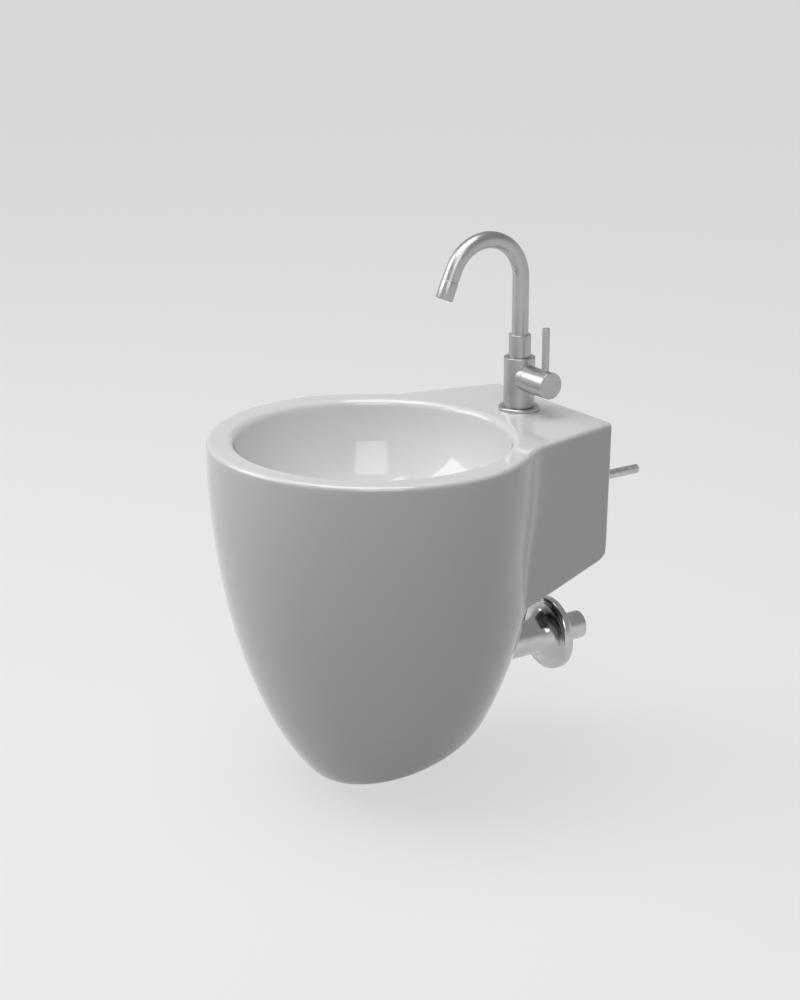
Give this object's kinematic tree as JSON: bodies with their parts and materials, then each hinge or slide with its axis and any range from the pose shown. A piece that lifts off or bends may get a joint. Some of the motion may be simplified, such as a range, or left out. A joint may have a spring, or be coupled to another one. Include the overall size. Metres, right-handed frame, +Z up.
{
  "type": "wall-hung hand basin with tap",
  "caption": "Egg-shaped wall-hung hand basin with a tapered tap ledge, a side-lever tap with a turning hooked spout, a strainer waste, a bottle trap and wall bolts.",
  "frame": {"origin": "On the wall's face, midway between the two wall bolts.", "axes": "+Z up, +Y into the wall, -Y towards the user, +X to the user's right, where the tap's lever is."},
  "size_m": [0.36, 0.476, 0.5892],
  "materials": {
    "ceramic": "glossy white glaze",
    "satin_metal": "satin brushed",
    "chrome": "polished",
    "brass": "machined, uncoated",
    "rubber": "matte",
    "plastic": "matte white",
    "plastic_grey": "matte dark grey",
    "zinc_steel": "zinc plated",
    "sealing_ceramic": "lapped"
  },
  "bodies": {
    "basin": {"basin_body": "ceramic", "wall_bolts": "zinc_steel", "bolt_sleeves": "plastic", "bolt_washers": "zinc_steel", "bolt_nuts": "zinc_steel", "strainer_plate": "chrome", "waste_screw": "chrome", "waste_upper_seal": "rubber", "waste_lower_seal": "rubber", "waste_tail": "chrome", "trap_inlet_seal": "rubber", "trap_inlet_nut": "chrome", "trap_inlet_tube": "chrome", "trap_head_seal": "rubber", "trap_head_nut": "chrome", "trap_body": "chrome", "trap_cup_seal": "rubber", "trap_cup": "chrome", "drain_plug_seal": "rubber", "drain_plug": "chrome", "trap_outlet_seal": "rubber", "trap_outlet_nut": "chrome", "outlet_pipe": "chrome", "wall_rosette": "chrome", "tap_base_seal": "rubber", "tap_base_ring": "satin_metal", "tap_body": "satin_metal", "tap_shank": "brass", "tap_grip_washer": "rubber", "tap_clamp_plate": "zinc_steel", "tap_lock_nut": "brass", "valve_shell": "brass", "valve_seat_seal": "rubber", "fixed_disc": "sealing_ceramic", "spout_collar": "satin_metal", "spout_slide_ring": "plastic", "spout_stop_screw": "zinc_steel"},
    "lever": {"valve_spindle": "brass", "turning_disc": "sealing_ceramic", "lever_hub": "satin_metal", "lever_pin": "satin_metal", "hub_screw": "zinc_steel"},
    "spout": {"spout_bush": "brass", "spout_o_rings": "rubber", "spout_tube": "satin_metal", "spout_end_piece": "satin_metal", "aerator_housing": "satin_metal", "aerator_seal": "rubber", "aerator_insert": "plastic_grey"}
  },
  "joints": [
    {"name": "lever_turn", "type": "hinge", "parent": "basin", "child": "lever", "pos_m": [0, -0.05, 0.107], "axis": [1, 0, 0], "range_deg": [0, 90]},
    {"name": "spout_swivel", "type": "hinge", "parent": "basin", "child": "spout", "pos_m": [0, -0.05, 0.14], "axis": [0, 0, 1], "range_deg": [-60, 60]}
  ]
}
